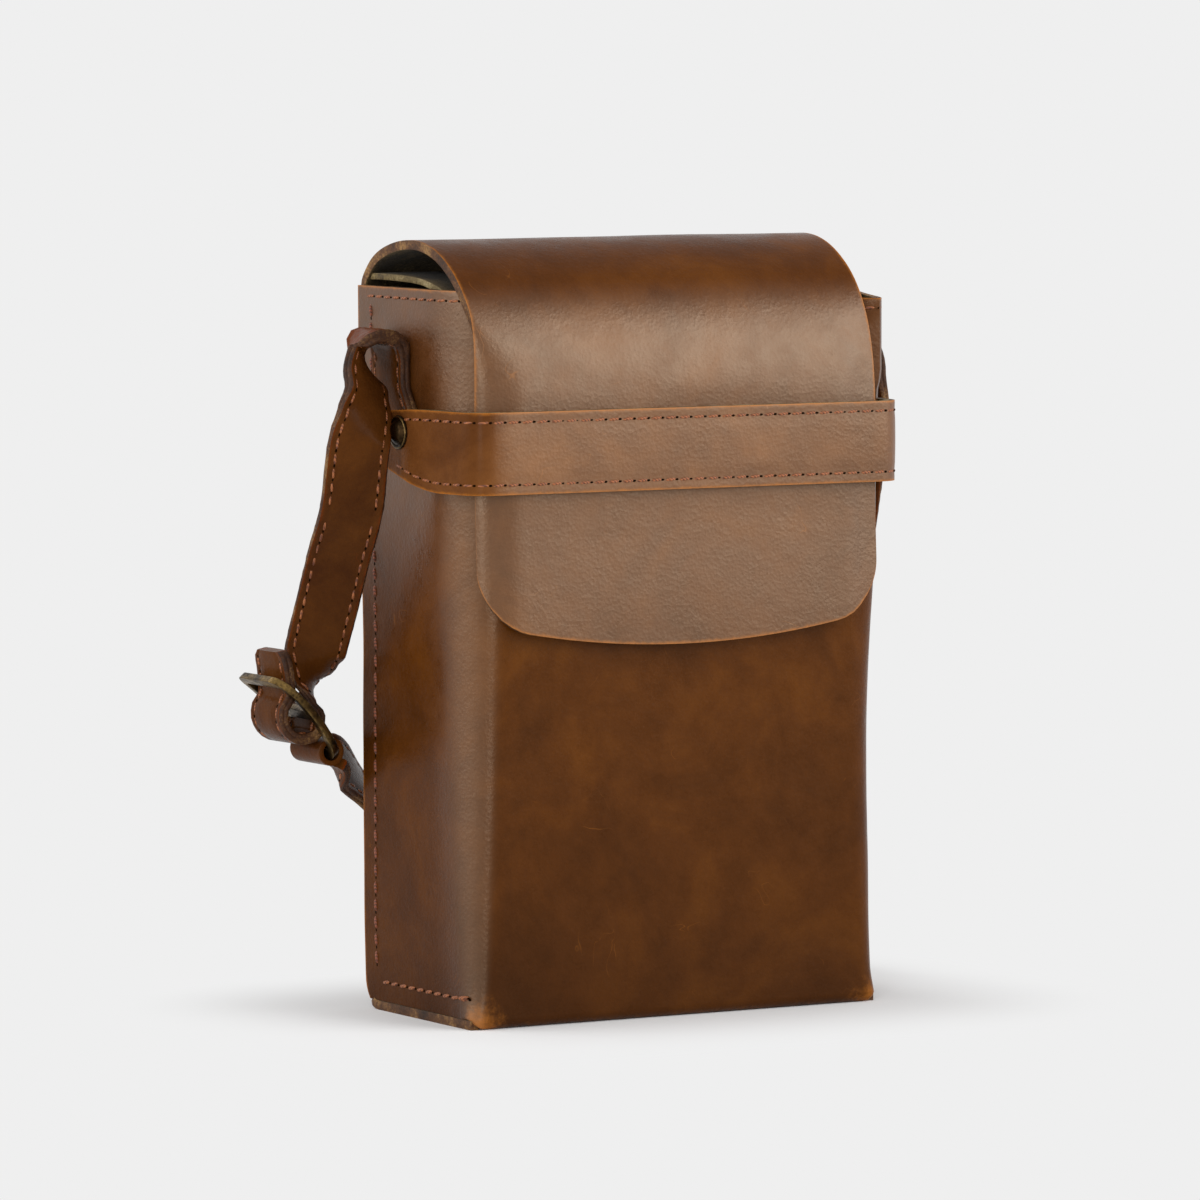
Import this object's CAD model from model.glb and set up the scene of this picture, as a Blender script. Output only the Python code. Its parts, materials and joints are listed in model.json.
"""Leather camera case: the dressed model with its materials, studio and camera.

Sizes in the classes are millimetres, apart from the bends and the studio, which are in
metres. Meshes are in metres too, in the frame of the CAD model.
"""
from __future__ import annotations

import json
import logging
import math
from dataclasses import dataclass
from enum import Enum
from functools import cached_property
from typing import Callable, Iterable, Sequence, TypeVar

import bpy
import numpy as np
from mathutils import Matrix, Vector, noise

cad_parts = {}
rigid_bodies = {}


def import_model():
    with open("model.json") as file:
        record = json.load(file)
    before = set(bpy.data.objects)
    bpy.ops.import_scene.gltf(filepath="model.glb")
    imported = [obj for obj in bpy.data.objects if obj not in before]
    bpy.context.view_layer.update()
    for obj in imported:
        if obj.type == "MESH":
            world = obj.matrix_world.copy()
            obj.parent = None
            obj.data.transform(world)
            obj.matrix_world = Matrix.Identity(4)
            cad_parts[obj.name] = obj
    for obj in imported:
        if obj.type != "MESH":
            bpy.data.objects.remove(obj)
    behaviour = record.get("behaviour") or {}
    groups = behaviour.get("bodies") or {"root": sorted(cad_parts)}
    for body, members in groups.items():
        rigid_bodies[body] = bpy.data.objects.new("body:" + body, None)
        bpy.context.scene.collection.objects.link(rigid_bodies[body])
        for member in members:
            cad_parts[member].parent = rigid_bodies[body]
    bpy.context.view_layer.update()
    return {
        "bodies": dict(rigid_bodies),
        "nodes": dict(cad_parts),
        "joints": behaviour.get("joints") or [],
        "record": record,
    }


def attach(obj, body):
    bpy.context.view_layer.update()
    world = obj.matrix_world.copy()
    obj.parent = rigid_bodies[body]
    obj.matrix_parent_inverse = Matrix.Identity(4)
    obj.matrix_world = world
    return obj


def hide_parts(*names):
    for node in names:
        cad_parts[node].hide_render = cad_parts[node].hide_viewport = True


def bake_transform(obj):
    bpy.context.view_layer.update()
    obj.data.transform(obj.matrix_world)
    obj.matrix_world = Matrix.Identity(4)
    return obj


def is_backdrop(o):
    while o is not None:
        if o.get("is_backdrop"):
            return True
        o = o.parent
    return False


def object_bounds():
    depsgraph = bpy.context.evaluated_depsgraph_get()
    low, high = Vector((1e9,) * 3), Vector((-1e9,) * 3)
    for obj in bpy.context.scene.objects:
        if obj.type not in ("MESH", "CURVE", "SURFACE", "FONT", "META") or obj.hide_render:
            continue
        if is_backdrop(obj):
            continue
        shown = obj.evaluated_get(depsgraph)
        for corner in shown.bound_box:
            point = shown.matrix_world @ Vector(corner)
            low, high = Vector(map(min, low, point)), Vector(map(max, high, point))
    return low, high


logging.basicConfig(level=logging.INFO, format="%(message)s")
log = logging.getLogger("camera_case")

MM = 0.001
WELD_MM = 0.002

Number = TypeVar("Number", float, np.ndarray)
Point = tuple[float, float, float]
Pair = tuple[float, float]
Spots = list[tuple[np.ndarray, np.ndarray]]  # points, each with a direction or a normal
Socket = bpy.types.NodeSocket
Object = bpy.types.Object
Materials = Sequence[bpy.types.Material]
Span = Pair  # where a change starts and where it is complete
Waves = tuple[Point, ...]  # height, length and seed of each wave


class Side(Enum):
    """The two sides of the case, as the sign of X."""

    LEFT = -1
    RIGHT = 1


# Numbers

def linear(code: str) -> tuple[float, float, float, float]:
    """Turn an sRGB colour of six hex digits into linear RGBA.

    Args:
        code: The colour.

    Returns:
        Red, green, blue and alpha for a shader socket.
    """
    parts = [int(code[index:index + 2], 16) / 255 for index in (0, 2, 4)]
    red, green, blue = (c / 12.92 if c <= 0.04045 else ((c + 0.055) / 1.055) ** 2.4
                        for c in parts)
    return red, green, blue, 1.0


def ease(low: float, high: float, value: float) -> float:
    """Rise smoothly from 0 at low to 1 at high."""
    share = min(max((value - low) / (high - low), 0.0), 1.0)
    return share * share * (3 - 2 * share)


def bell(value: float, middle: float, width: float) -> float:
    """Return 1 where a value is at the middle, less by a bell curve away from it."""
    return math.exp(-((value - middle) / width) ** 2)


def mix(first: Number, second: Number, share: float) -> Number:
    """Go from first to second by a share."""
    return first + (second - first) * share


def ripple(x: float, y: float, z: float, length: float, seed: float = 0.0) -> float:
    """Return smooth noise from -1 to 1 whose waves are about length millimetres long."""
    return noise.noise(Vector((x / length + seed, y / length - seed, z / length + 2 * seed)))


def relief(place: Iterable[float], waves: Waves) -> float:
    """Add up waves at a place."""
    return sum(height * ripple(*place, length, seed) for height, length, seed in waves)


def graded(start: float, stop: float, step: float, fine: float = 0.5) -> list[float]:
    """Space values from start to stop, closer together near both ends.

    Args:
        start: First value.
        stop: Last value.
        step: Largest spacing, used in the middle.
        fine: Spacing at both ends.

    Returns:
        The values, start and stop included.
    """
    span = abs(stop - start)
    margin = [0.0]
    gap = fine
    while gap < step and margin[-1] + gap < span / 2:
        margin.append(margin[-1] + gap)
        gap *= 1.5
    inner = span - 2 * margin[-1]
    count = max(1, round(inner / step))
    middle = [margin[-1] + inner * index / count for index in range(1, count)]
    values = margin + middle + [span - value for value in reversed(margin)]
    return [start + math.copysign(value, stop - start) for value in values]


def quarter(count: int, first: int = 0) -> list[float]:
    """Return even steps of a quarter turn, its end left out."""
    return [index / count * math.pi / 2 for index in range(first, count)]


def unit(vector: Sequence[float]) -> np.ndarray:
    """Return the vector at length one."""
    array = np.asarray(vector, float)
    return array / max(float(np.linalg.norm(array)), 1e-12)


def distances(points: np.ndarray) -> np.ndarray:
    """Return the length walked along points up to each of them."""
    return np.concatenate([[0], np.cumsum(np.linalg.norm(np.diff(points, axis=0), axis=1))])


# Finishes

class Graph:
    """A node tree, with short calls for the nodes that the finishes share."""

    def __init__(self, owner: bpy.types.Material | bpy.types.World) -> None:
        """Give the owner an empty tree.

        Args:
            owner: The material or world.
        """
        owner.use_nodes = True
        self.tree = owner.node_tree
        self.tree.nodes.clear()

    def add(self, kind: str, inputs: dict | None = None) -> bpy.types.Node:
        """Add one node.

        Args:
            kind: Node type without its ShaderNode prefix.
            inputs: Property names, input names or input numbers, each with its value or
                with the output socket that feeds it.

        Returns:
            The new node.
        """
        node = self.tree.nodes.new(f"ShaderNode{kind}")
        for key, value in (inputs or {}).items():
            if isinstance(value, Socket):
                self.tree.links.new(value, node.inputs[key])
            elif isinstance(key, str) and key in node.bl_rna.properties:
                setattr(node, key, value)
            else:
                node.inputs[key].default_value = value
        return node

    @cached_property
    def place(self) -> Socket:
        """Return the place on the object."""
        return self.add("TexCoord").outputs["Object"]

    def painted(self, name: str) -> Socket:
        """Return what is painted on the mesh under a name."""
        return self.add("Attribute", {"attribute_name": name}).outputs["Fac"]

    def noise(self, size: float, detail: float, rough: float = 0.5, twist: float = 0.0) -> Socket:
        """Return noise whose spots are about size millimetres wide.

        Args:
            size: Width of the spots.
            detail: Number of finer layers.
            rough: Strength of the finer layers.
            twist: Distortion.

        Returns:
            The noise, from 0 to 1.
        """
        return self.add("TexNoise", {
            "Scale": 1 / (size * MM), "Detail": detail, "Roughness": rough,
            "Distortion": twist, "Vector": self.place}).outputs["Fac"]

    def math(self, operation: str, *values: Socket | float) -> Socket:
        """Join values by one arithmetic operation."""
        return self.add("Math", {"operation": operation, **dict(enumerate(values))}).outputs[0]

    def average(self, first: Socket, second: Socket) -> Socket:
        """Return the average of two values."""
        return self.math("MULTIPLY", self.math("ADD", first, second), 0.5)

    def spread(self, source: Socket, low: float, high: float, to_low: float = 0.0,
               to_high: float = 1.0) -> Socket:
        """Map a value smoothly from low..high to to_low..to_high.

        Args:
            source: The value.
            low: Value that gives to_low.
            high: Value that gives to_high.
            to_low: Result at low.
            to_high: Result at high.

        Returns:
            The result.
        """
        return self.add("MapRange", {
            "interpolation_type": "SMOOTHSTEP", "From Min": low, "From Max": high,
            "To Min": to_low, "To Max": to_high, "Value": source}).outputs["Result"]

    def ramp(self, source: Socket, *stops: tuple[float, str]) -> Socket:
        """Colour a value by stops of position and hex colour.

        Args:
            source: The value.
            stops: Positions from 0 to 1 with their colours.

        Returns:
            The colour.
        """
        node = self.add("ValToRGB", {"Fac": source})
        elements = node.color_ramp.elements
        while len(elements) < len(stops):
            elements.new(0.5)
        for element, (place, code) in zip(elements, stops):
            element.position, element.color = place, linear(code)
        return node.outputs["Color"]

    def tint(self, share: Socket, colour: Socket, code: str) -> Socket:
        """Mix a hex colour into a colour by a share."""
        return self.add("Mix", {"data_type": "RGBA", 0: share, 6: colour,
                                7: linear(code)}).outputs[2]

    def bump(self, strength: float, depth: float, height: Socket, **more: Socket | bool
             ) -> Socket:
        """Return the normal of a relief that is depth millimetres deep."""
        return self.add("Bump", {"Strength": strength, "Distance": depth * MM,
                                 "Height": height, **more}).outputs["Normal"]

    def show(self, shader: bpy.types.Node, kind: str = "OutputMaterial") -> None:
        """Connect the last shader to the output."""
        self.add(kind, {"Surface": shader.outputs[0]})


@dataclass(frozen=True)
class Finish:
    """A material that is built from its fields."""

    name: str

    def shade(self, graph: Graph) -> dict:
        """Build the nodes that colour the material.

        Args:
            graph: The material's node tree.

        Returns:
            The values and sockets of the shader, by input name.
        """
        raise NotImplementedError

    def make(self) -> bpy.types.Material:
        """Build the material."""
        material = bpy.data.materials.new(self.name)
        graph = Graph(material)
        graph.show(graph.add("BsdfPrincipled", self.shade(graph)))
        return material


@dataclass(frozen=True)
class GrainLeather(Finish):
    """Vegetable-tanned cowhide, drum dyed, waxed and polished.

    It is dark brown where the wax is whole, redder where light reaches the dye, and orange
    tan where rubbing has taken the dye off. Only where the mesh says polish does it shine.
    """

    name: str = "waxed_cowhide_grain"
    deep: str = "3F2007"
    body: str = "4E290A"
    warm: str = "5D330C"
    worn: str = "9A5C20"
    soiled: str = "2A1405"
    wax: str = "F6D8B8"
    roughness: float = 0.27
    cloud_mm: float = 34.0
    stain_mm: float = 34.0 / 4.5
    patch_mm: float = 34.0 / 2.4
    rub_mm: float = 2.4
    pore_mm: float = 0.9
    wave_mm: float = 9.0
    fine_mm: float = 0.45
    scratch_mm: float = 16.0
    scratches: float = 0.34
    scratch_width: float = 0.005
    patches: Span = (0.59, 0.69)
    rubbed_off: Span = (0.52, 1.02)
    tones: Point = (0.30, 0.52, 0.74)
    dull_shine: float = 0.03
    polished: bool = True

    def shade(self, graph: Graph) -> dict:
        """Return the values and sockets of the shader, by input name."""
        join = graph.math
        stain = graph.noise(self.stain_mm, 4.0, 0.7)
        tone = join("ADD", graph.noise(self.cloud_mm, 5.0, 0.62, 0.7),
                    join("MULTIPLY_ADD", stain, 0.35, -0.17))
        colour = graph.ramp(tone, *zip(self.tones, (self.deep, self.body, self.warm)))
        colour = graph.tint(graph.painted("soil"), colour, self.soiled)
        rub = join("MULTIPLY", graph.noise(self.rub_mm, 4.0, 0.75), 0.55)
        rubbed = graph.spread(join("ADD", rub, graph.painted("wear")), *self.rubbed_off)
        line = graph.noise(self.scratch_mm, 1.0, twist=2.2)
        thin = join("ABSOLUTE", join("SUBTRACT", line, 0.5), 0.0)
        thin = graph.spread(thin, self.scratch_width, 0.0)
        patch = graph.spread(graph.noise(self.patch_mm, 2.0), *self.patches)
        scratch = join("MULTIPLY", join("MULTIPLY", thin, patch), self.scratches)
        bared = join("MAXIMUM", rubbed, scratch)
        polish = graph.painted("polish")
        gloss = join("ADD", graph.spread(stain, 0.3, 0.7, self.roughness - 0.05,
                                         self.roughness + 0.08), join("MULTIPLY", bared, 0.28))
        pores = graph.add("TexVoronoi", {"Scale": 1 / (self.pore_mm * MM), "Randomness": 1.0,
                                         "Vector": graph.place}).outputs["Distance"]
        normal = graph.bump(0.35, 0.5, graph.noise(self.wave_mm, 3.0, 0.55, 0.4))
        normal = graph.bump(0.3, 0.14, pores, Normal=normal)
        normal = graph.bump(0.42, 0.09, graph.noise(self.fine_mm, 3.0, 0.7), Normal=normal)
        shader = {"Base Color": graph.tint(bared, colour, self.worn),
                  "Roughness": join("ADD", gloss, join("MULTIPLY", polish, 0.12)),
                  "Normal": graph.bump(0.4, 0.08, bared, Normal=normal, invert=True),
                  "Coat Weight": 0.05, "Coat Roughness": 0.22, "IOR": 1.5,
                  "Specular Tint": linear(self.wax), "Specular IOR Level": self.dull_shine}
        if self.polished:
            shader["Specular IOR Level"] = graph.spread(polish, 0.0, 1.0, self.dull_shine)
        return shader


@dataclass(frozen=True)
class CutLeather(Finish):
    """The raw cut edge of the same hide, dyed thinly and rubbed back to tan fibres."""

    name: str = "hide_cut_edge"
    dark: str = "26160A"
    body: str = "54341A"
    light: str = "A17B48"
    fibre_mm: float = 0.6
    patch_mm: float = 7.0
    shine: float = 0.3

    def shade(self, graph: Graph) -> dict:
        """Return the values and sockets of the shader, by input name."""
        fibre = graph.noise(self.fibre_mm, 4.0, 0.8)
        tone = graph.average(fibre, graph.noise(self.patch_mm, 3.0))
        return {"Base Color": graph.ramp(tone, (0.38, self.dark), (0.52, self.body),
                                         (0.68, self.light)),
                "Normal": graph.bump(0.6, 0.15, fibre),
                "Roughness": 0.62, "IOR": 1.45, "Specular IOR Level": self.shine}


@dataclass(frozen=True)
class FleshLeather(Finish):
    """The brushed flesh side of the hide, with a short dull nap that scatters light."""

    name: str = "brushed_hide_flesh"
    dark: str = "1C1509"
    body: str = "2E2413"
    light: str = "6E5C3C"
    nap_mm: float = 0.7
    patch_mm: float = 14.0

    def shade(self, graph: Graph) -> dict:
        """Return the values and sockets of the shader, by input name."""
        nap = graph.noise(self.nap_mm, 5.0, 0.8)
        patch = graph.noise(self.patch_mm, 3.0, twist=0.5)
        tone = graph.math("ADD", graph.average(nap, patch),
                          graph.math("MULTIPLY", graph.painted("wear"), 0.25))
        return {"Base Color": graph.ramp(tone, (0.36, self.dark), (0.52, self.body),
                                         (0.7, self.light)),
                "Normal": graph.bump(0.8, 0.25, nap), "Roughness": 1.0, "IOR": 1.25,
                "Sheen Weight": 0.05, "Sheen Roughness": 0.5}


@dataclass(frozen=True)
class WaxedThread(Finish):
    """Three-ply waxed linen thread, rust brown, with the twist of its plies."""

    name: str = "waxed_linen_thread"
    dark: str = "57290F"
    body: str = "9A5A30"
    ply_mm: float = 0.45
    soil_mm: float = 6.0

    def shade(self, graph: Graph) -> dict:
        """Return the values and sockets of the shader, by input name."""
        ply = graph.add("TexWave", {
            "wave_type": "BANDS", "bands_direction": "DIAGONAL", "Distortion": 1.5,
            "Scale": 0.3 / (self.ply_mm * MM), "Detail": 2.0,
            "Vector": graph.place}).outputs["Fac"]
        tone = graph.average(ply, graph.noise(self.soil_mm, 3.0))
        return {"Base Color": graph.ramp(tone, (0.25, self.dark), (0.65, self.body)),
                "Normal": graph.bump(0.5, 0.1, ply), "Roughness": 0.6, "IOR": 1.5}


@dataclass(frozen=True)
class AntiqueBrass(Finish):
    """Cast brass, browned in a patina bath, bright where leather and hands rub it."""

    name: str = "browned_cast_brass"
    patina: str = "2B2015"
    body: str = "7A6238"
    bright: str = "B79A63"
    pit_mm: float = 1.0
    patch_mm: float = 4.0
    roughness: float = 0.38

    def shade(self, graph: Graph) -> dict:
        """Return the values and sockets of the shader, by input name."""
        pits = graph.noise(self.pit_mm, 4.0, 0.65)
        tone = graph.average(pits, graph.noise(self.patch_mm, 3.0))
        colour = graph.ramp(tone, (0.38, self.patina), (0.62, self.body))
        rubbed = graph.spread(graph.math("ADD", graph.math("MULTIPLY", pits, 0.5),
                                         graph.painted("wear")), 0.6, 1.1)
        return {"Base Color": graph.tint(rubbed, colour, self.bright), "Metallic": 1.0,
                "Roughness": graph.spread(pits, 0.3, 0.7, self.roughness + 0.14,
                                          self.roughness - 0.06),
                "Normal": graph.bump(0.35, 0.12, pits)}


# Meshes

def only(piece: Object) -> None:
    """Select one object alone and make it active."""
    for other in bpy.context.selected_objects:
        other.select_set(False)
    piece.select_set(True)
    bpy.context.view_layer.objects.active = piece


def edit(piece: Object, *steps: Callable[[], object]) -> None:
    """Select all of a mesh in edit mode and run operators on it in order.

    Args:
        piece: The object.
        steps: The operators.
    """
    only(piece)
    bpy.ops.object.mode_set(mode="EDIT")
    bpy.ops.mesh.select_all(action="SELECT")
    for step in steps:
        step()
    bpy.ops.object.mode_set(mode="OBJECT")


def merge(distance: float = WELD_MM) -> None:
    """Merge the selected points that are closer than a distance in millimetres."""
    bpy.ops.mesh.remove_doubles(threshold=distance * MM)


def face_out() -> None:
    """Turn the selected faces out."""
    bpy.ops.mesh.normals_make_consistent(inside=False)


def finish_mesh(piece: Object, angle: float = 40.0) -> None:
    """Apply a piece's modifiers in order and shade it smooth below an angle in degrees.

    Args:
        piece: The object.
        angle: Edges sharper than this stay sharp.
    """
    only(piece)
    for modifier in list(piece.modifiers):
        bpy.ops.object.modifier_apply(modifier=modifier.name)
    bpy.ops.object.shade_smooth_by_angle(angle=math.radians(angle))


def add_bevel(piece: Object, name: str, width: float, angle: float, segments: int) -> None:
    """Round the edges sharper than an angle in degrees by a width in millimetres.

    Args:
        piece: The object.
        name: The modifier's name.
        width: Width of the rounding.
        angle: The angle.
        segments: Number of faces across the rounding.
    """
    bevel = piece.modifiers.new(name, "BEVEL")
    bevel.limit_method = "ANGLE"
    bevel.angle_limit = math.radians(angle)
    bevel.width = width * MM
    bevel.segments = segments


def close_mesh(piece: Object, angle: float, *steps: Callable[[], object]) -> None:
    """Merge a mesh's seam, run more steps, turn its faces out and shade it."""
    edit(piece, merge, *steps, face_out)
    finish_mesh(piece, angle)


def report(piece: Object) -> None:
    """Log a finished piece."""
    log.info("%s: %d faces", piece.name, len(piece.data.polygons))


def dress(piece: Object, materials: Materials) -> None:
    """Give a piece its material slots."""
    piece.data.materials.clear()
    for material in materials:
        piece.data.materials.append(material)


def paint(piece: Object, name: str, values: Iterable[float]) -> None:
    """Store one number per vertex under a name."""
    attribute = piece.data.attributes.new(name, "FLOAT", "POINT")
    attribute.data.foreach_set("value", np.asarray(values, np.float32).ravel())


def grid_piece(name: str, places: np.ndarray) -> Object:
    """Add a grid and lay its points on the places of a surface.

    Args:
        name: The piece's name.
        places: Rows by columns by XYZ, in millimetres. Columns turn left of the rows seen
            from outside, so that faces point out.

    Returns:
        The new object.
    """
    rows, columns = places.shape[:2]
    bpy.ops.mesh.primitive_grid_add(x_subdivisions=columns - 1, y_subdivisions=rows - 1, size=1)
    piece = bpy.context.object
    piece.name = piece.data.name = name
    piece.data.vertices.foreach_set("co", (places * MM).astype(np.float32).ravel())
    piece.data.update()
    return piece


def edge_wear(places: np.ndarray, reach: float, sides: str = "LRSE") -> np.ndarray:
    """Work out how worn each point of a sheet is from its distance to the cut edges.

    Args:
        places: Rows by columns by XYZ, in millimetres.
        reach: Distance at which the wear has mostly gone.
        sides: Edges that wear: L and R first and last column, S and E first and last row.

    Returns:
        Rows by columns of wear from 0 to 1.
    """
    across = np.linalg.norm(np.diff(places, axis=1), axis=2)
    along = np.linalg.norm(np.diff(places, axis=0), axis=2)
    left = np.pad(np.cumsum(across, axis=1), ((0, 0), (1, 0)))
    start = np.pad(np.cumsum(along, axis=0), ((1, 0), (0, 0)))
    far = {"L": left, "R": left[:, -1:] - left, "S": start, "E": start[-1:, :] - start}
    return np.exp(-np.min([far[key] for key in sides], axis=0) / reach)


def sheet(name: str, places: np.ndarray, hide: Materials, thickness: float,
          round_edge: float = 0.45, **painted: Iterable[float]) -> Object:
    """Build a sheet of hide inwards from its grain side, with slightly rounded cut edges.

    Args:
        name: The piece's name.
        places: The grain side, as grid_piece takes it.
        hide: The materials of the grain side, the cut edge and the flesh side.
        thickness: Thickness in millimetres.
        round_edge: Width of the rounding in millimetres.
        painted: Values of each point under the names that the finishes read.

    Returns:
        The new object.
    """
    piece = grid_piece(name, places)
    for key, values in painted.items():
        paint(piece, key, values)
    dress(piece, hide)
    solid = piece.modifiers.new("thickness", "SOLIDIFY")
    solid.thickness = thickness * MM
    solid.offset = -1
    solid.material_offset_rim = 1
    solid.material_offset = 2
    add_bevel(piece, "rubbed_edge", round_edge, 55, 2)
    finish_mesh(piece)
    return piece


def even_steps(route: Spots, pitch: float, margin: float, sewn: Span
               ) -> list[tuple[np.ndarray, ...]]:
    """Walk a route at an even pitch.

    Args:
        route: Points with the surface normal at each, in millimetres.
        pitch: Distance between steps.
        margin: Length left free at both ends.
        sewn: Shares of the pitch at which a stitch starts and ends.

    Returns:
        Start, end and normal of the sewn part of each step.
    """
    table = np.array([np.concatenate(spot) for spot in route])
    lengths = distances(table[:, :3])
    count = max(1, int((lengths[-1] - 2 * margin) / pitch))
    first = (lengths[-1] - count * pitch) / 2
    steps = []
    for index in range(count):
        low, high = (first + (index + share) * pitch for share in sewn)
        start, end, middle = (np.array([np.interp(at, lengths, column) for column in table.T])
                              for at in (low, high, (low + high) / 2))
        steps.append((start[:3], end[:3], unit(middle[3:])))
    return steps


@dataclass(frozen=True)
class StitchRow:
    """A row of hand-pulled saddle stitches, each sunk at its ends and slightly slanted."""

    pitch: float = 4.0
    width: float = 0.72
    stand: float = 0.16
    slant: float = 4.0
    slant_spread: float = 3.0
    margin: float = 1.0
    hole: float = 0.46
    hole_narrow: float = 0.62
    hole_depth: float = 0.12
    hole_at: float = 1.14
    sewn: Span = (0.12, 0.88)
    bluntness: float = 0.7
    dip: float = 0.5
    sinking: float = 0.2

    def sew(self, name: str, routes: Sequence[Spots], materials: Materials) -> Object:
        """Copy one stitch and its needle hole along routes into a single mesh.

        Args:
            name: The piece's name.
            routes: Runs of points with their surface normals, in millimetres.
            materials: The materials of the thread and of the holes.

        Returns:
            The new object.
        """
        bpy.ops.mesh.primitive_uv_sphere_add(segments=8, ring_count=6, radius=1)
        piece = bpy.context.object
        piece.name = piece.data.name = name
        edit(piece, lambda: bpy.ops.transform.rotate(
            value=math.pi / 2, orient_axis="Y", center_override=(0, 0, 0)))
        ball = np.array([vertex.co for vertex in piece.data.vertices])
        faces = [tuple(face.vertices) for face in piece.data.polygons]
        stitch = ball.copy()
        stitch[:, 0] = np.sign(ball[:, 0]) * np.abs(ball[:, 0]) ** self.bluntness
        stitch[:, 2] -= self.dip * np.abs(stitch[:, 0]) ** 5
        blocks: list[np.ndarray] = []
        for route in routes:
            for start, end, normal in even_steps(route, self.pitch, self.margin,
                                                 self.sewn):
                centre, half = (start + end) / 2, float(np.linalg.norm(end - start)) / 2
                forward = unit(end - start)
                turn = math.radians(self.slant + self.slant_spread * ripple(*centre, 5.0, 3.0))
                ahead = (forward * math.cos(turn)
                         + unit(np.cross(normal, forward)) * math.sin(turn))
                across = unit(np.cross(normal, ahead))
                up = unit(np.cross(ahead, across))
                axes = np.array([ahead, across, up])
                blocks.append(centre + up * (self.stand - self.width * self.sinking)
                              + stitch * (half, self.width / 2, self.width / 2) @ axes)
                blocks.append(centre + forward * half * self.hole_at - up * 0.02 + ball * (
                    self.hole, self.hole * self.hole_narrow, self.hole_depth) @ axes)
        piece.data.clear_geometry()
        piece.data.from_pydata(
            (np.concatenate(blocks) * MM).tolist(), [],
            [[len(ball) * block + corner for corner in face]
             for block in range(len(blocks)) for face in faces])
        dress(piece, materials)
        piece.data.polygons.foreach_set(
            "material_index", [block % 2 for block in range(len(blocks)) for _ in faces])
        edit(piece, face_out)
        finish_mesh(piece, 60)
        return piece


# The case

@dataclass(frozen=True)
class BoxForm:
    """The outer form of the leather box, which every sheet follows."""

    base_half_width: float = 56.0
    rim_half_width: float = 57.5
    base_half_depth: float = 27.0
    rim_half_depth: float = 27.7
    rim: float = 174.0
    base_corner: float = 3.2
    rim_corner: float = 13.0
    corner_power: float = 0.62
    leather: float = 2.2
    ply_gap: float = 0.05
    seam_y: float = 20.4
    heel: float = 7.5
    heel_gap: float = 0.8
    left_stretch: float = 1.7

    def half_width(self, z: float) -> float:
        """Return half the outer width at a height."""
        return mix(self.base_half_width, self.rim_half_width, z / self.rim)

    def half_depth(self, z: float) -> float:
        """Return half the outer depth at a height."""
        return mix(self.base_half_depth, self.rim_half_depth, z / self.rim)

    def inner_half(self, z: float) -> float:
        """Return half the width of a sheet that lies between the side walls."""
        return self.half_width(z) - self.leather - self.ply_gap

    def corner(self, z: float) -> float:
        """Return the plan radius of the front corners, pinched towards the floor."""
        share = min(max(z / self.rim, 0), 1.1) ** self.corner_power
        return mix(self.base_corner, self.rim_corner, share)

    def reach(self, z: float, side: int) -> float:
        """Return how far back a front corner's round reaches, longer on the worn left side."""
        return self.corner(z) * (self.left_stretch if side < 0 else 1.0)

    def wall_point(self, part: float, z: float, side: int, inset: float = 0.0
                   ) -> tuple[np.ndarray, np.ndarray]:
        """Return a point of the folded wall and its outward normal.

        Args:
            part: 0 to 1 over half the front, 1 to 2 round the corner, 2 to 3 along the side.
            z: Height.
            side: -1 on the left and 1 on the right.
            inset: Distance inside the outer face.

        Returns:
            The point in millimetres and the unit normal.
        """
        width, depth, radius = self.half_width(z), self.half_depth(z), self.corner(z)
        heel = max(self.heel - z, 0.0)
        rear = depth - self.heel_gap - self.heel + math.sqrt(self.heel ** 2 - heel ** 2)
        reach = self.reach(z, side)
        if part <= 1:
            x, y, nx, ny = (width - radius) * part, -depth, 0.0, -1.0
        elif part <= 2:
            turn = (part - 1) * math.pi / 2
            nx, ny = unit((math.sin(turn) / radius, -math.cos(turn) / reach))
            x = width - radius + radius * math.sin(turn)
            y = reach - depth - reach * math.cos(turn)
        else:
            x, y, nx, ny = width, mix(reach - depth, rear, part - 2), 1.0, 0.0
        return (np.array([side * (x - inset * nx), y - inset * ny, z]),
                np.array([side * nx, ny, 0.0]))


@dataclass(frozen=True)
class FlapForm:
    """The side outline of the flap's grain side, and its tongue's outline."""

    ridge_y: float = 4.0
    ridge_z: float = 185.4
    back_reach: float = 23.7
    back_rise: float = 11.4
    front_reach: float = 34.1
    front_drop: float = 37.4
    half_width: float = 54.7
    shift: float = -0.9
    tongue_end: float = 89.7
    tongue_side: float = 96.0
    tongue_corner: float = 12.0
    wall_gap: float = 0.4

    def shoulder_y(self, z: float, inset: float = 0.0) -> float:
        """Return y of the front shoulder at a height, inset from the grain side."""
        drop = self.front_drop - inset
        share = min(max((z - (self.ridge_z - self.front_drop)) / drop, 0), 1)
        return self.ridge_y - (self.front_reach - inset) * math.sqrt(1 - share * share)

    def tongue_z(self, x: float) -> float:
        """Return the height of the tongue's cut end at a distance from its middle.

        Args:
            x: The distance.

        Returns:
            The height in millimetres.
        """
        half, radius = self.half_width, self.tongue_corner
        sag = (self.tongue_side - self.tongue_end) * (x / half) ** 2
        over = max(0.0, abs(x) - (half - radius))
        return self.tongue_end + sag + radius - math.sqrt(max(radius ** 2 - over ** 2, 0.0))


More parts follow.
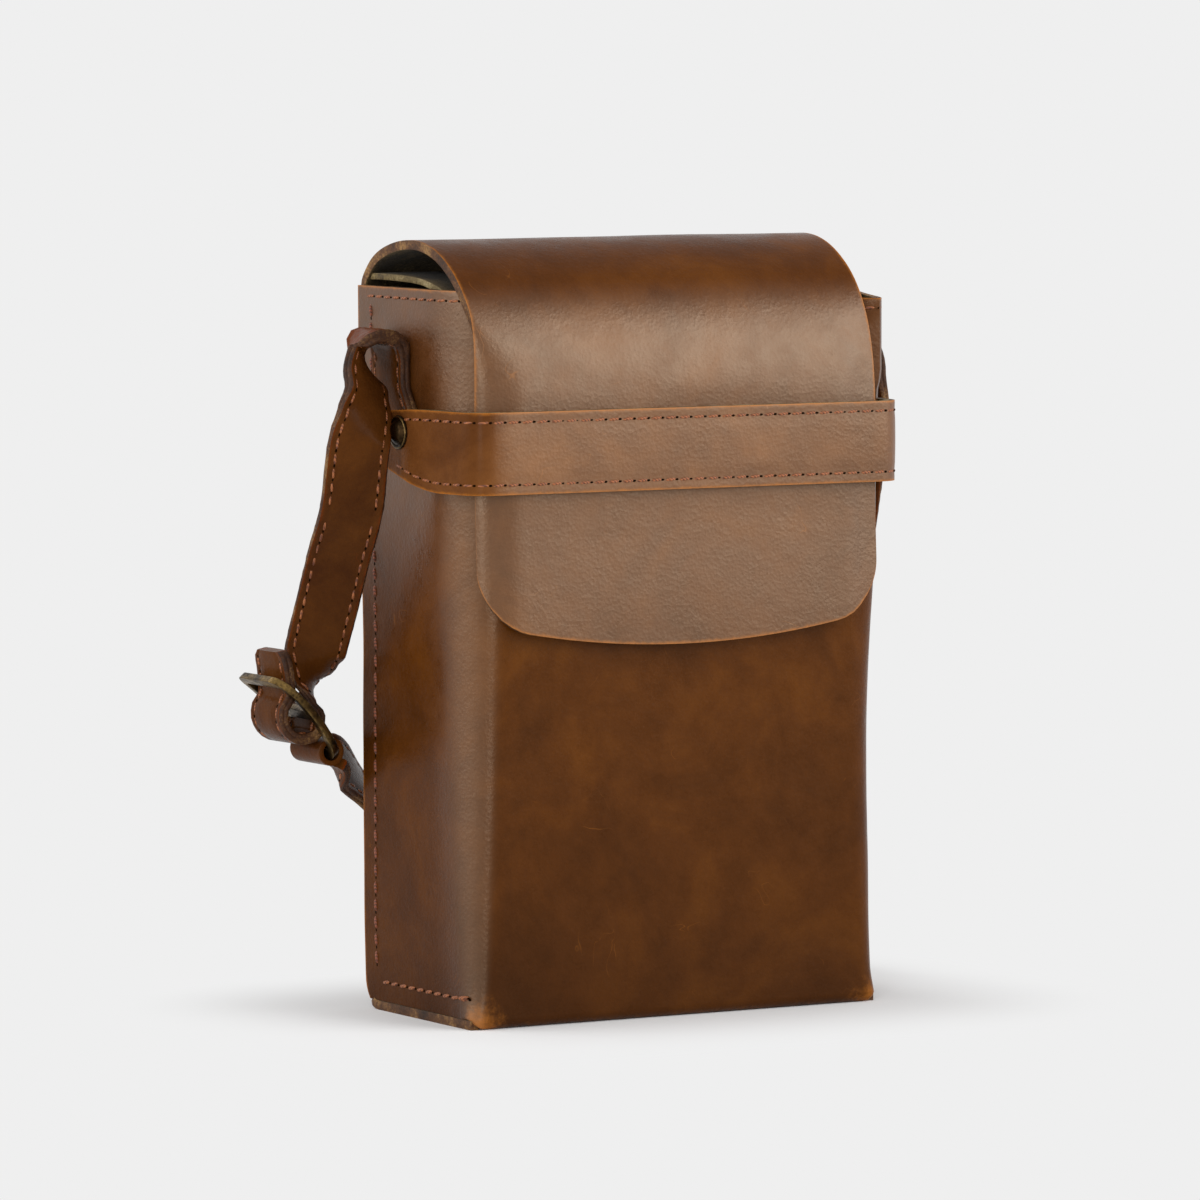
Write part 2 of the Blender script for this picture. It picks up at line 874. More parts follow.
@dataclass
class FoldedWall:
    """Front and sides, one piece of hide folded round two soft corners."""

    form: BoxForm
    flap: FlapForm
    hide: Materials
    front_fold: float = 2.4
    turned_under: float = 9.8
    side_foot: float = 2.3
    fold_share: float = 0.4
    low_front_rim: float = 166.0
    right_corner_rim: float = 170.4
    flap_clearance: float = 0.1
    side_part: Span = (1.2, 1.9)
    rim_rise: Span = (1.0, 1.5)
    right_rim_rise: Span = (1.6, 2.6)
    swells: Waves = ((0.55, 62, 1.3), (0.25, 23, 4.1))
    under_band: float = 0.15
    foot_flare: float = 0.9
    right_flares: tuple[tuple[float, Span], ...] = ((2.3, (60, 120)), (0.6, (126, 132)),
                                                    (1.0, (147, 153)))
    worn_edge: float = 0.62
    worn_foot: float = 0.32
    worn_corner: float = 0.2
    worn_toe: Pair = (0.74, 0.6)  # left and right
    toe_x: float = 54.5
    waxed_corner: Pair = (0.9, 0.2)  # left and right
    waxed_front: float = 0.15
    waxed_side: float = 0.8
    soiling: float = 0.5
    soil_height: float = 26.0

    def rim_height(self, part: float, side: int) -> float:
        """Return the height of the rim, lower where the flap presses on it.

        Args:
            part: Place round the wall, as BoxForm.wall_point takes it.
            side: -1 on the left and 1 on the right.

        Returns:
            The height in millimetres.
        """
        high = self.form.rim
        if side > 0:
            high = mix(self.right_corner_rim, high, ease(*self.right_rim_rise, part))
        return mix(self.low_front_rim, high, ease(*self.rim_rise, part))

    def fold_height(self, part: float) -> float:
        """Return the height at which the wall ends, or folds under the front."""
        return mix(self.side_foot + 0.8, self.front_fold, 1 - ease(*self.side_part, part))

    def place(self, part: float, row: float, side: int) -> np.ndarray:
        """Return a point of the grain side.

        Args:
            part: Place round the wall, as BoxForm.wall_point takes it.
            row: 0 to 1 from the fold at the foot to the rim, and down to -1 under the base.
            side: -1 on the left and 1 on the right.

        Returns:
            The point in millimetres.
        """
        form, flap = self.form, self.flap
        front = 1 - ease(*self.side_part, part)
        lower = self.fold_height(part)
        if row >= 0:
            z = mix(lower, self.rim_height(part, side), row)
            point, normal = form.wall_point(part, z, side)
        else:
            turn = min(-row / self.fold_share, 1.0) * math.pi / 2
            under = max((-row - self.fold_share) / (1 - self.fold_share), 0.0)
            inset = self.front_fold * (1 - math.cos(turn)) + under * self.turned_under
            z = mix(mix(lower, self.side_foot, -row),
                    self.front_fold * (1 - math.sin(turn)), front) + 0.02
            point, normal = form.wall_point(part, max(z, 0.05), side, inset * front)
        x, y, _ = point
        calm = ease(0, 30, z) * (1 - 0.8 * ease(100, 150, z))
        swell = relief((x, y, z), self.swells) * calm
        shaped = point + normal * (swell - self.under_band * ease(95, 130, z) * front)
        inner = flap.shoulder_y(z, form.leather + self.flap_clearance)
        covered = (z > 140) * ease(flap.half_width + 0.9, flap.half_width - 0.6,
                                   abs(x - flap.shift))
        if covered > 0 and shaped[1] < inner:
            shaped[1] = mix(shaped[1], inner, covered)
        flare = self.foot_flare * (1 - ease(0, 9, z)) * bell(part, 1.5, 0.4)
        if side > 0:
            flare += bell(part, 1.62, 0.28) * sum(size * ease(*span, z)
                                                  for size, span in self.right_flares)
        return shaped + normal * flare * (1 - covered)

    def build(self) -> Object:
        """Build the sheet, from the left seam round the front to the right seam."""
        half = (list(np.linspace(0, 1, 26)) + list(np.linspace(1, 2, 17))[1:]
                + [2 + value / 42 for value in graded(0, 42, 2.0, 0.5)][1:])
        columns = [(part, -1) for part in reversed(half)] + [(part, 1) for part in half[1:]]
        under = 1 - self.fold_share
        rows = ([-1 + under * index / 6 for index in range(6)]
                + [-self.fold_share * (1 - index / 6) for index in range(6)]
                + [value / 170 for value in graded(0, 170, 2.4, 0.4)])
        places = np.array([[self.place(part, row, side) for part, side in columns]
                           for row in rows])
        wear = edge_wear(places, 0.9, "LRE") * self.worn_edge
        polish = np.zeros_like(wear)
        for (row, column), edge in np.ndenumerate(wear):
            (x, y, z), (part, side) = places[row, column], columns[column]
            toe = (self.worn_toe[side > 0] * math.exp(-z / 9.5) * ease(-19, -25, y)
                   * math.exp(-(max(self.toe_x - abs(x), 0) / 8.5) ** 1.4))
            wear[row, column] = max(
                edge, toe, self.worn_foot * math.exp(-z / 3.5),
                self.worn_corner * bell(part, 1.5, 0.42) * ease(150, 20, z))
            polish[row, column] = max(
                self.waxed_corner[side > 0] * bell(part, 1.55, 0.4),
                self.waxed_front * ease(1.6, 1.2, part),
                self.waxed_side * ease(1.3, 1.8, part) * ease(80, 150, z))
        soil = self.soiling * np.exp(-places[..., 2] / self.soil_height)
        piece = sheet("wall_leather", places, self.hide, self.form.leather, wear=wear,
                      polish=polish, soil=soil)
        for vertex in piece.data.vertices:  # the corners' pleats lie on top of the base
            vertex.co.z = abs(vertex.co.z)
        return piece


@dataclass
class BackStrip:
    """Base, back and flap, one strip of hide that bends at the top of the back."""

    form: BoxForm
    flap: FlapForm
    hide: Materials
    base_front_y: float = -14.9
    base_half_width: float = 56.1
    notch_depth: float = 10.2
    heel_radius: float = 7.0
    flange_radius: float = 2.6
    flange_depth: float = 7.0
    margin: float = 3.0
    margin_steps: int = 11
    bend_steps: int = 6
    soft_crease: float = 3.0
    right_wrap: float = 0.3
    loose_foot: float = 1.3
    sags: Waves = ((0.35, 40, 7.7), (0.15, 17, 2.2))
    curls: Waves = ((0.18, 22, 5.5),)
    swells: Waves = ((0.5, 55, 9.1),)
    worn_edge: float = 0.66
    worn_heel: Pair = (0.1, 0.3)  # front and back
    worn_ridge: float = 0.10
    waxed: Span = (-17, -28.5)

    def outline(self) -> list[Point]:
        """Return the strip's side outline as y, z and a share of the way down the tongue."""
        form, flap, heel = self.form, self.flap, self.heel_radius
        start = form.base_half_depth - heel
        shoulder = flap.ridge_y - flap.front_reach
        return (
            [(y, 0.0, 0.0) for y in graded(self.base_front_y, start, 3.5, 0.5)]
            + [(start + heel * math.sin(turn), heel - heel * math.cos(turn), 0.0)
               for turn in quarter(7, 1)]
            + [(form.half_depth(z), float(z), 0.0) for z in np.arange(heel, form.rim, 2.6)]
            + [(flap.ridge_y + flap.back_reach * math.cos(turn),
                flap.ridge_z - flap.back_rise * (1 - math.sin(turn)), 0.0)
               for turn in quarter(18)]
            + [(flap.ridge_y - flap.front_reach * math.sin(turn),
                flap.ridge_z - flap.front_drop * (1 - math.cos(turn)), 0.0)
               for turn in quarter(33)]
            + [(shoulder, flap.ridge_z - flap.front_drop, 0.001 + value / 100)
               for value in graded(0, 100, 4.2, 0.6)])

    def flap_point(self, x: float, y: float, z: float) -> np.ndarray:
        """Press a point of the flap round the soft corners and let the hide sag a little.

        Args:
            x: Place across.
            y: Place from front to back.
            z: Height.

        Returns:
            The moved point.
        """
        form, flap = self.form, self.flap
        level = min(z, form.rim)
        gap = flap.wall_gap + form.leather
        radius = form.corner(level) + gap
        over = max(0.0, abs(x - flap.shift * 0.5) - form.half_width(level) + form.corner(level))
        if over > 0 and y < 0:
            limit = (radius - form.half_depth(level) - gap
                     - math.sqrt(max(radius ** 2 - over ** 2, 0.0)))
            limit = limit if x < 0 else mix(y, limit, self.right_wrap)
            crease = max(self.soft_crease - abs(y - limit), 0.0) / self.soft_crease
            y = max(y, limit) + crease ** 2 * self.soft_crease / 4 * ease(0, 4, over)
        sag = relief((x, y, z), self.sags)
        if y >= -15:
            return np.array([x, y, z + sag * 0.9 * ease(24, 14, y)])
        curl = (1 - ease(90, 104, z)) * relief((x, 0, 0), self.curls)
        loose = self.loose_foot * (1 - ease(90, 128, z)) + form.ply_gap
        y -= sag * ease(144, 152, z) + curl + loose
        return np.array([x, y, z])

    def section(self, half: float, flanged: float, depth: float) -> list[Pair]:
        """Return x and the distance forward of each column, from right to left.

        Args:
            half: Half the width of the strip here.
            flanged: How far the margins are bent forward, from 0 to 1.
            depth: Depth of the bent margins beyond their bend.

        Returns:
            One pair for each column.
        """
        radius, bend = self.flange_radius, self.bend_steps
        edge = []
        for index in range(1, self.margin_steps + 1):
            turn = min(index / bend, 1) * math.pi / 2
            flat = half - self.margin * (1 - index / self.margin_steps) ** 1.7
            bent = half - radius + radius * math.sin(turn)
            back = radius * (1 - math.cos(turn)) + depth * max(index / bend - 1, 0) * bend / 5
            edge.append((mix(flat, bent, flanged), back * flanged))
        middle = [(share * (half - self.margin), 0.0) for share in np.linspace(1, -1, 47)]
        return edge[::-1] + middle + [(-x, back) for x, back in edge]

    def build(self) -> Object:
        """Build the whole strip and let it bend along the top of the back."""
        form, flap = self.form, self.flap
        rows, folded = [], []
        for y, z, down in self.outline():
            on_flap = y < form.half_depth(z) - 0.2 and z > 100 or z > form.rim
            flanged = 0.0 if on_flap else ease(3, 9, z) * (1 - ease(164, 172, z))
            if on_flap:
                wide = ease(form.rim, form.rim + 5, z) if y > flap.ridge_y else 1.0
                half, shift = mix(form.inner_half(form.rim), flap.half_width, wide), flap.shift
            else:
                half = mix(self.base_half_width, form.inner_half(z), ease(0.5, 4, z))
                shift = flap.shift * ease(168, 174, z)
            depth = mix(self.flange_depth, 0.6, ease(118, 164, z))
            row = []
            for x, back in self.section(half, flanged, depth):
                at_y = y - back
                if on_flap:
                    low = mix(z, flap.tongue_z(x), down - 0.001) if down > 0 else z
                    row.append(self.flap_point(x + shift, y, low))
                    continue
                if z < 1:
                    at_y -= (self.notch_depth * ease(52.6, 53.8, abs(x))
                             * ease(0, self.base_front_y, at_y))
                swell = relief((x + shift, at_y, z), self.swells)
                calm = ease(6, 40, z) * (1 - ease(140, 170, z))
                middle = 1 - ease(half - 14, half - 2, abs(x))
                row.append((x + shift, at_y + swell * calm * middle, z))
            rows.append(row)
            folded.append(flanged)
        places = np.array(rows)
        wear = edge_wear(places, 1.0, "LRE") * self.worn_edge
        for row, (_, y, z) in enumerate(places[:, places.shape[1] // 2]):
            bends = (self.worn_heel[bool(y > 10)] * bell(z, 2, 5)
                     + self.worn_ridge * bell(z, flap.ridge_z, 5))
            wear[row] = np.maximum(wear[row] * (1 - folded[row]), bends)
        polish = [ease(*self.waxed, y) if z > 80 else 0.0 for _, y, z in places.reshape(-1, 3)]
        return sheet("back_and_flap_leather", places, self.hide, form.leather, wear=wear,
                     polish=polish)


@dataclass
class DustFlap:
    """The thin inner flap that lies over the opening, fuzzy at its cut edges."""

    hide: Materials
    root: Pair = (25.2, 175.4)
    crown: Pair = (9.7, 174.9)
    tip: Pair = (-17.6, 166.9)
    half_width: float = 51.6
    root_half_width: float = 55.0
    thickness: float = 1.6
    round_edge: float = 0.35
    waves: Waves = ((0.25, 18, 3.3),)
    fringe: Waves = ((0.25, 1.7, 6.0),)
    worn_edge: float = 0.9
    length: float = 40.0
    round_from: float = 40.0
    fringed: Span = (48, 51.5)

    def build(self) -> Object:
        """Build the flap as a sheet bent on the arc through its root, crown and tip."""
        given = np.array([self.root, self.crown, self.tip])
        d, e, f = np.linalg.solve(np.column_stack([given, np.ones(3)]), -(given ** 2).sum(axis=1))
        centre = np.array([-d / 2, -e / 2])
        radius = math.sqrt(centre @ centre - f) + self.thickness
        first, _, last = (math.atan2(z - centre[1], y - centre[0]) for y, z in given)
        rows = []
        for share in (value / self.length for value in graded(0, self.length, 2.0, 0.4)):
            wide = mix(self.root_half_width / self.half_width, 1, ease(0.1, 0.45, share))
            line = []
            for x in graded(self.half_width, -self.half_width, 3.0, 0.4):
                round_end = 0.10 * max(0.0, abs(x) - self.round_from) ** 1.6 / 52 * share
                turn = mix(first, last, share * (1 - round_end))
                reach = radius + relief((x, share * self.length, 0), self.waves) - 0.1
                ragged = relief((share * 43, x, 0), self.fringe) * ease(*self.fringed, abs(x))
                line.append((x * wide + math.copysign(1, x) * ragged,
                             centre[0] + reach * math.cos(turn),
                             centre[1] + reach * math.sin(turn)))
            rows.append(line)
        places = np.array(rows)
        return sheet("dust_flap_leather", places, self.hide, self.thickness, self.round_edge,
                     wear=edge_wear(places, 2.5) * self.worn_edge)


def rounded_path(corners: Sequence[Point], step: float) -> Spots:
    """Walk a flat path whose corners are rounded.

    Args:
        corners: x, y and radius of each corner, in order. The ends have no radius.
        step: Largest spacing of the points.

    Returns:
        Points and unit directions of travel, both in X and Y.
    """
    points = [np.array(corner[:2]) for corner in corners]
    walk = [points[0]]
    for last_one, here, next_one, (_, _, radius) in zip(points, points[1:], points[2:],
                                                        corners[1:]):
        to_last, to_next = unit(last_one - here), unit(next_one - here)
        half = math.acos(float(np.clip(to_last @ to_next, -1, 1))) / 2
        cut = radius / math.tan(half)
        first, last = here + to_last * cut, here + to_next * cut
        centre = here + unit(to_last + to_next) * radius / math.sin(half)
        turns = max(3, int((math.pi - 2 * half) * radius / 0.7))
        walk += [first] + [centre + unit(mix(first, last, turn / turns) - centre) * radius
                           for turn in range(1, turns)] + [last]
    dense = [walk[0]]
    for start, stop in zip(walk, walk[1:] + points[-1:]):
        count = max(1, math.ceil(float(np.linalg.norm(stop - start)) / step))
        dense += [mix(start, stop, share / count) for share in range(1, count + 1)]
    padded = dense[:1] + dense + dense[-1:]
    return [(point, unit(after - before))
            for before, point, after in zip(padded, dense, padded[2:])]


@dataclass
class ClosingBand:
    """The fixed band that holds the tongue: two plies sewn together along both edges."""

    hide: Materials
    lining: Materials
    thread: Materials
    flat_x: float = 60.34
    front_half: float = 57.0
    inner_front: float = 30.51
    flat_start_y: float = -8.0
    end_y: float = 5.4
    side_radius: float = 14.0
    front_radius: float = 4.2
    low: float = 126.6
    high: float = 146.0
    end_rise: float = 6.4
    end_drop: float = 0.8
    taper_y: float = -20.0
    end_radius: float = 3.0
    ply: float = 1.2
    ply_gap: float = 0.05
    seam_inset: float = 2.35
    round_edge: float = 0.4
    waves: Waves = ((0.16, 19, 8.2),)
    groove: float = 0.10
    crown: float = 0.12
    rest: float = 0.15
    worn_edge: float = 0.7
    waxed: float = 0.9
    waxed_from: Span = (-59, -46)

    def path(self, grow: float, step: float = 1.6) -> Spots:
        """Return points and outward normals along a face that lies out from the inner one.

        Args:
            grow: How far the face lies out from the inner face.
            step: Spacing of the points.

        Returns:
            Points and normals in X and Y, from the left end to the right end.
        """
        left = [(-self.flat_x, self.end_y, 0.0), (-self.flat_x, self.flat_start_y,
                                                  self.side_radius),
                (-self.front_half, -self.inner_front, self.front_radius)]
        corners = left + [(-x, y, radius) for x, y, radius in reversed(left)]
        result = []
        for point, along in rounded_path(corners, step):
            normal = np.array([along[1], -along[0]])
            result.append((point + normal * grow, normal))
        return result

    def edges(self, y: float, end: float) -> Pair:
        """Return the lower and upper edge at y, rounded off near an end.

        Args:
            y: Place from front to back.
            end: Distance to the nearer end.

        Returns:
            The two heights.
        """
        rise = self.end_rise * ease(self.taper_y, self.end_y + 9, y)
        radius = self.end_radius
        cut = radius - math.sqrt(max(radius ** 2 - max(0.0, radius - end) ** 2, 0.0))
        return self.low + rise + cut, self.high - cut - self.end_drop * ease(-12, 6, y)

    def ply_sheet(self, name: str, grow: float, hide: Materials) -> Object:
        """Build one ply.

        Args:
            name: The piece's name.
            grow: How far its outer face lies out from the band's inner face.
            hide: The materials of the ply.

        Returns:
            The new object.
        """
        path = self.path(grow)
        lengths = distances(np.array([point for point, _ in path]))
        rows = []
        for share in (value / 20 for value in graded(0, 20, 1.6, 0.35)):
            line = []
            for (point, normal), length in zip(path, lengths):
                low, high = self.edges(point[1], min(length, lengths[-1] - length))
                z = mix(low, high, share)
                seam = min(abs(z - low - self.seam_inset), abs(high - self.seam_inset - z))
                out = (relief((*point, z), self.waves) - self.groove * bell(seam, 0, 0.8)
                       + self.crown * math.sin(math.pi * share) - self.rest)
                line.append((*(point + normal * out), z))
            rows.append(line)
        places = np.array(rows)
        return sheet(name, places, hide, self.ply, self.round_edge,
                     wear=edge_wear(places, 0.8) * self.worn_edge,
                     polish=[self.waxed * ease(*self.waxed_from, x)
                             for x in places[..., 0].ravel()])

    def seam_routes(self, grow: float) -> list[Spots]:
        """Return the runs of both rows of stitches.

        Args:
            grow: How far the stitches lie out from the inner face.

        Returns:
            The lower and the upper run.
        """
        routes: list[Spots] = [[], []]
        for point, normal in self.path(grow, 1.0)[4:-4]:
            low, high = self.edges(point[1], 9.0)
            for run, z in zip(routes, (low + self.seam_inset, high - self.seam_inset)):
                run.append((np.array([*point, z]), np.array([*normal, 0.0])))
        return routes

    def build(self) -> tuple[Object, Object, Object]:
        """Build both plies and the stitches."""
        outer_face = 2 * self.ply + self.ply_gap
        return (self.ply_sheet("band_outer_ply", outer_face, self.hide),
                self.ply_sheet("band_lining_ply", self.ply, self.lining),
                StitchRow(pitch=3.9, stand=0.1).sew(
                    "band_stitches", self.seam_routes(outer_face - self.rest), self.thread))


@dataclass(frozen=True)
class Frame:
    """One cross-section of a strap: its centre, width direction and face normal."""

    centre: np.ndarray
    across: np.ndarray
    out: np.ndarray


@dataclass
class Strap:
    """A two-ply strap sewn along both edges, laid through given places."""

    hide: Materials
    thread: Materials
    width: float = 15.0
    thickness: float = 2.6
    seam_inset: float = 2.0
    seam_depth: float = 0.14
    step: float = 1.5
    tip: float = 4.0
    tip_narrow: float = 0.28
    rough: Waves = ((0.10, 3.1, 1.7), (0.12, 11, 6.1))
    cracks: Waves = ((0.3, 1.5, 8.3),)
    fray: Waves = ((1.0, 1.3, 2.0),)
    frayed: Pair = (0.12, 0.35)  # everywhere, and more where worn
    worn_edge: float = 0.72
    worn_face: Pair = (0.1, 0.5)  # inner and outer

    def frames(self, route: Sequence[Sequence[float]]) -> list[Frame]:
        """Lay a smooth line through the route and turn the width direction evenly along it.

        Args:
            route: Centre and width direction of each place, as six numbers, in order.

        Returns:
            Cross-sections about one step apart.
        """
        centres = [np.array(row[:3], float) for row in route]
        widths = [unit(row[3:]) for row in route]
        for index in range(1, len(widths)):
            widths[index] *= -1 if widths[index] @ widths[index - 1] < 0 else 1
        padded = [2 * centres[0] - centres[1]] + centres + [2 * centres[-1] - centres[-2]]
        line: Spots = []
        for index in range(len(centres) - 1):
            p0, p1, p2, p3 = padded[index:index + 4]
            before, gap, after = (float(np.linalg.norm(step)) for step in (p1 - p0, p2 - p1,
                                                                           p3 - p2))
            m1, m2 = gap * ((p2 - p0) / (gap + before)), gap * ((p3 - p1) / (gap + after))
            count = max(1, round(gap / self.step))
            for t in (part / count for part in range(count)):
                point = ((2 * t ** 3 - 3 * t ** 2 + 1) * p1 + (t ** 3 - 2 * t ** 2 + t) * m1
                         + (3 * t ** 2 - 2 * t ** 3) * p2 + (t ** 3 - t ** 2) * m2)
                line.append((point, mix(widths[index], widths[index + 1], ease(0, 1, t))))
        line.append((centres[-1], widths[-1]))
        padded_line = line[:1] + line + line[-1:]
        result = []
        for (before, _), (point, width), (after, _) in zip(padded_line, line, padded_line[2:]):
            along = unit(after - before)
            across = unit(width - along * float(width @ along))
            result.append(Frame(point, across, np.cross(along, across)))
        return result

    def section(self) -> list[tuple[float, float, bool]]:
        """Return the outline of the strap: across, out and whether it is a cut edge."""
        half, deep = self.width / 2, self.thickness / 2
        seam = half - self.seam_inset
        left = [(-half + 0.4, deep - 0.02), (-half + 0.9, deep), (-seam - 0.5, deep),
                (-seam, deep - self.seam_depth), (-seam + 0.6, deep), (-half * 0.3, deep + 0.03)]
        edge = [(half - 0.08, deep * 0.66), (half, deep * 0.3), (half - 0.22, 0.0),
                (half, -deep * 0.3), (half - 0.08, -deep * 0.66)]
        face = left + [(-x, y) for x, y in reversed(left)]
        outline = [(x, y, False) for x, y in face] + [(x, y, True) for x, y in edge]
        return outline + [(-x, -y, cut) for x, y, cut in outline]

    def skin(self, name: str, frames: Sequence[Frame], worn: Callable[[np.ndarray], float],
             outer: int = 1, taper_end: bool = False) -> Object:
        """Skin the strap's body along its frames.

        Args:
            name: The piece's name.
            frames: Cross-sections.
            worn: Wear of the grain at a place.
            outer: 1 or -1, the face that lies outside at the fold and takes that wear.
            taper_end: Whether the last few millimetres are rounded off as a cut tip.

        Returns:
            The new object.
        """
        section = self.section()
        section.append(section[0])
        rings, wear = [], []
        for frame in frames:
            end = float(np.linalg.norm(frame.centre - frames[-1].centre))
            narrow = 1.0
            if taper_end and end < self.tip:
                narrow -= self.tip_narrow * (1 - math.sqrt(1 - ((self.tip - end) / self.tip) ** 2))
            worn_here = worn(frame.centre)
            swollen = 1 + 0.3 * ease(0.4, 0.9, worn_here)
            ring = []
            for x, y, cut in section:
                spot = frame.centre + frame.across * x * narrow + frame.out * y * swollen
                rough = relief(spot, self.rough) + worn_here * relief(spot, self.cracks)
                frayed = (self.frayed[0] + self.frayed[1] * worn_here) * relief(spot, self.fray)
                ring.append(spot + frame.out * rough * (0.4 if cut else 1.0)
                            + frame.across * frayed * cut)
                edge = math.exp(-(self.width / 2 - abs(x)) / 1.1)
                wear.append(max(edge * self.worn_edge,
                                worn_here * self.worn_face[y * outer > 0]))
            rings.append(ring)
        piece = grid_piece(name, np.array(rings))
        paint(piece, "wear", wear)
        dress(piece, self.hide)
        flags = [int(here[2] or after[2]) for here, after in zip(section, section[1:])]
        piece.data.polygons.foreach_set("material_index", flags * (len(frames) - 1))
        close_mesh(piece, 50,
                   lambda: bpy.ops.mesh.select_all(action="DESELECT"),
                   lambda: bpy.ops.mesh.select_non_manifold(extend=False),
                   bpy.ops.mesh.edge_face_add,
                   lambda: bpy.ops.mesh.select_all(action="SELECT"))
        return piece

    def seam_routes(self, frames: Sequence[Frame]) -> list[Spots]:
        """Return the runs of stitches along both edges of both faces.

        Args:
            frames: Cross-sections of the strap.

        Returns:
            Four runs of points and normals.
        """
        reach = self.width / 2 - self.seam_inset
        deep = self.thickness / 2 - self.seam_depth
        return [[(frame.centre + frame.across * side * reach + frame.out * face * deep,
                  frame.out * face) for frame in frames]
                for side in (-1, 1) for face in (-1, 1)]


@dataclass
class WallSeams:
    """The stitch rows sewn through the folded wall."""

    wall: FoldedWall
    thread: Materials
    soiled_thread: Materials
    rim_inset: float = 2.4
    past_seam: float = 3.6
    rim_level: float = 171.6
    rim_end: float = 1.22
    seam_top: float = 173.2
    seam_foot: float = 7.6
    foot_z: float = 7.0
    foot_front_y: float = -25.5
    tack_back: Pair = (0.0, 0.6)
    tack_rise: float = 0.35

    def part_at(self, y: float, z: float, side: int) -> float:
        """Return the place round the wall at which its side reaches y."""
        form = self.wall.form
        front = form.reach(z, side) - form.half_depth(z)
        return 2 + (y - front) / (form.half_depth(z) - form.heel_gap - front)

    def spot(self, part: float, z: float, side: int) -> tuple[np.ndarray, np.ndarray]:
        """Return a point of the wall's grain side and its outward normal.

        Args:
            part: Place round the wall.
            z: Height.
            side: -1 on the left and 1 on the right.

        Returns:
            The point in millimetres and the unit normal.
        """
        wall = self.wall
        lower = wall.fold_height(part)
        row = (z - lower) / (wall.rim_height(part, side) - lower)
        round_it = wall.place(part + 0.01, row, side) - wall.place(part - 0.01, row, side)
        upward = wall.place(part, row + 0.004, side) - wall.place(part, row - 0.004, side)
        normal = unit(np.cross(round_it, upward))
        outward = wall.form.wall_point(part, z, side)[1]
        return wall.place(part, row, side), normal if normal @ outward > 0 else -normal

    def rim_route(self, side: int) -> Spots:
        """Follow the rim from the side seam round the corner to under the flap."""
        start = self.part_at(self.wall.form.seam_y + self.past_seam, self.rim_level, side)
        return [self.spot(part, self.wall.rim_height(part, side) - self.rim_inset, side)
                for part in np.linspace(start, self.rim_end, 70)]

    def seam_route(self, side: int) -> Spots:
        """Follow the side seam down."""
        return [self.spot(self.part_at(self.wall.form.seam_y, z, side), z, side)
                for z in np.linspace(self.seam_top, self.seam_foot, 90)]

    def foot_routes(self, side: int) -> list[Spots]:
        """Follow the foot forward to its back-tacked end.

        Args:
            side: -1 on the left and 1 on the right.

        Returns:
            The long run and two short ones.
        """
        form, z = self.wall.form, self.foot_z
        reach = form.reach(z, side) - form.half_depth(z)
        forward = [
            self.spot(self.part_at(y, z, side) if y > reach else mix(2.0, 1.4, (reach - y) / 6),
                      z, side) for y in np.linspace(form.seam_y, self.foot_front_y, 40)]
        return [forward] + [
            [(point + np.array([0, back, self.tack_rise]) + normal * self.tack_rise, normal)
             for point, normal in forward[-8:]] for back in self.tack_back]

    def build(self) -> dict[str, Object]:
        """Sew each row and return it under the name of the CAD thread it stands for.

        Returns:
            The rows. One that stands for no thread has a name that starts with an underscore.
        """
        rows = StitchRow(pitch=4.15)
        fine = StitchRow(pitch=4.2, stand=0.2, width=0.95, slant=9)
        pieces = {}
        for side in Side:
            key, sign = side.name.lower(), side.value
            pieces[f"rim_thread_{key}"] = rows.sew(
                f"rim_stitches_{key}", [self.rim_route(sign)], self.thread)
            pieces[f"side_seam_thread_{key}"] = fine.sew(
                f"side_stitches_{key}", [self.seam_route(sign)], self.soiled_thread)
            pieces[f"_foot_{key}"] = fine.sew(
                f"foot_stitches_{key}", self.foot_routes(sign), self.thread)
        return pieces


@dataclass(frozen=True)
class Rivet:
    """A domed rivet with a thin rolled rim, set along X through band, strap tab and wall."""

    metal: bpy.types.Material
    base_x: float = 62.81
    y: float = -3.0
    z: float = 140.3
    shank_end_x: float = 53.6
    shank_radius: float = 1.5
    turns: int = 40
    dents: Waves = ((0.012, 1.6, 4.4),)
    lip_radius: float = 3.75
    worn_lip: float = 0.75
    worn_crown: float = 0.12

    def profile(self) -> list[Pair]:
        """Return radius and distance out from the seat, from the crown to the shank's end."""
        inner = self.shank_end_x - self.base_x
        return [(0.0, 1.75), (0.5, 1.73), (1.1, 1.66), (1.6, 1.55), (2.1, 1.38), (2.5, 1.15),
                (2.8, 0.88), (3.0, 0.62), (3.12, 0.56), (3.3, 0.66), (3.6, 0.74), (3.85, 0.66),
                (4.02, 0.42), (4.05, 0.2), (3.95, 0.0), (2.6, -0.15), (self.shank_radius, -0.2),
                (self.shank_radius, inner), (0.0, inner)]

    def build(self, side: Side) -> Object:
        """Turn the profile round the rivet's axis on one side.

        Args:
            side: The side of the case.

        Returns:
            The new object.
        """
        rings, wear = [], []
        for radius, out in self.profile():
            ring = []
            for turn in np.linspace(0, math.tau, self.turns + 1):
                y, z = radius * math.cos(turn), radius * math.sin(turn)
                dent = 1 + relief((y, z, out), self.dents)
                ring.append((side.value * (self.base_x + out), self.y + y * dent,
                             self.z + z * dent))
            rings.append(ring)
            lip = self.worn_lip * bell(radius, self.lip_radius, 0.25) if out > 0 else 0.0
            wear += [max(lip, self.worn_crown * math.exp(-radius / 1.2))] * len(ring)
        piece = grid_piece(f"rivet_cap_{side.name.lower()}", np.array(rings))
        paint(piece, "wear", wear)
        dress(piece, [self.metal])
        close_mesh(piece, 40)
        return piece


